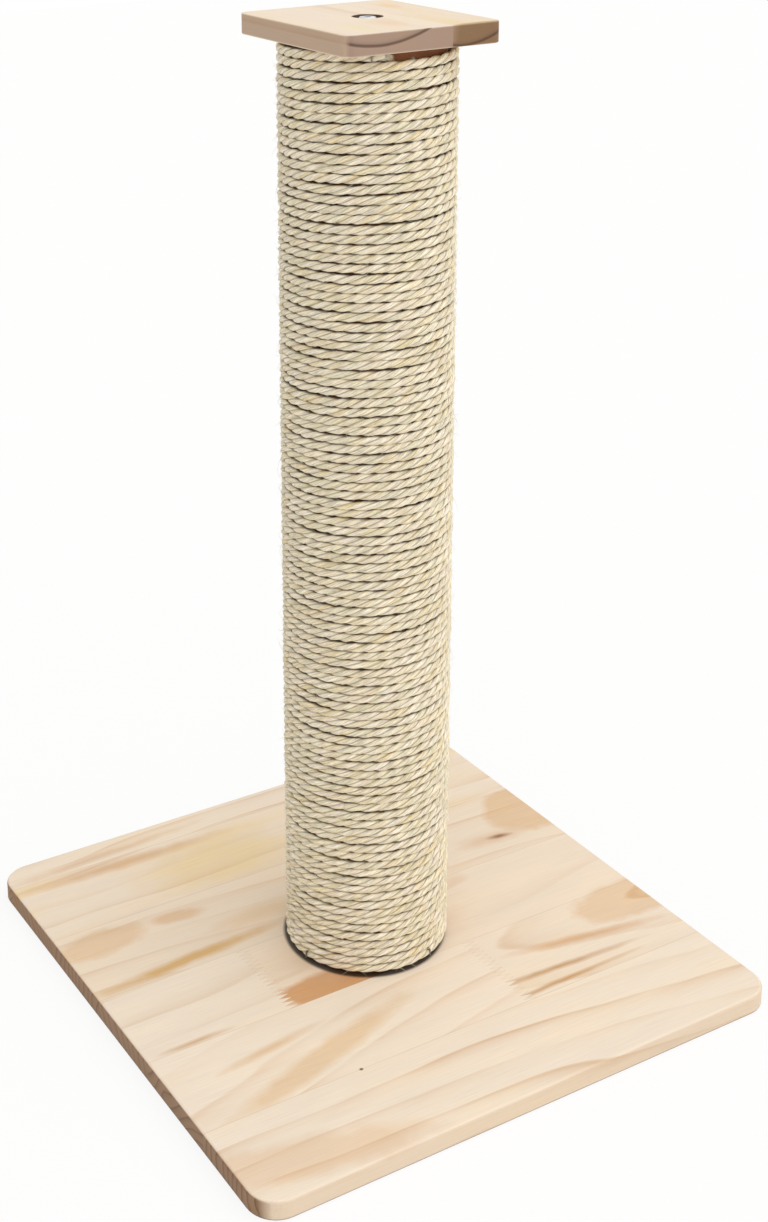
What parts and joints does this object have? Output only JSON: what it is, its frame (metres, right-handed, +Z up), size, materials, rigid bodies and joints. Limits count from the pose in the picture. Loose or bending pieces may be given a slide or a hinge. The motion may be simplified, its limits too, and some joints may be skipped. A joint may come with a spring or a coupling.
{
  "type": "cat scratching post",
  "caption": "Free-standing cat scratching post: a sisal-wound tube bolted between a wide square pine base and a small pine top plate.",
  "frame": {"origin": "centre of the base board's underside, where the post stands on the floor", "axes": "+Z up along the post; +X along the base board's grain and the top plate's short side; +Y along the top plate's long side"},
  "size_m": [0.48, 0.48, 0.796],
  "materials": {
    "pine": "satin lacquered finger-jointed pine",
    "plywood": "raw birch plywood",
    "kraft_tube": "raw spiral-wound kraft board",
    "sisal": "three-strand natural sisal rope",
    "zinc_steel": "bright zinc-plated steel"
  },
  "bodies": {
    "root": {"base_board": "pine", "top_plate": "pine", "core_tube": "kraft_tube", "bottom_plug": "plywood", "top_plug": "plywood", "bottom_plug_nails": "zinc_steel", "top_plug_nails": "zinc_steel", "base_insert": "zinc_steel", "top_insert": "zinc_steel", "base_washer": "zinc_steel", "top_washer": "zinc_steel", "base_bolt": "zinc_steel", "top_bolt": "zinc_steel", "bottom_rope_staples": "zinc_steel", "top_rope_staples": "zinc_steel", "rope_turns_1": "sisal", "rope_turns_2": "sisal", "rope_turns_3": "sisal", "rope_turns_4": "sisal", "rope_turns_5": "sisal"}
  },
  "joints": []
}
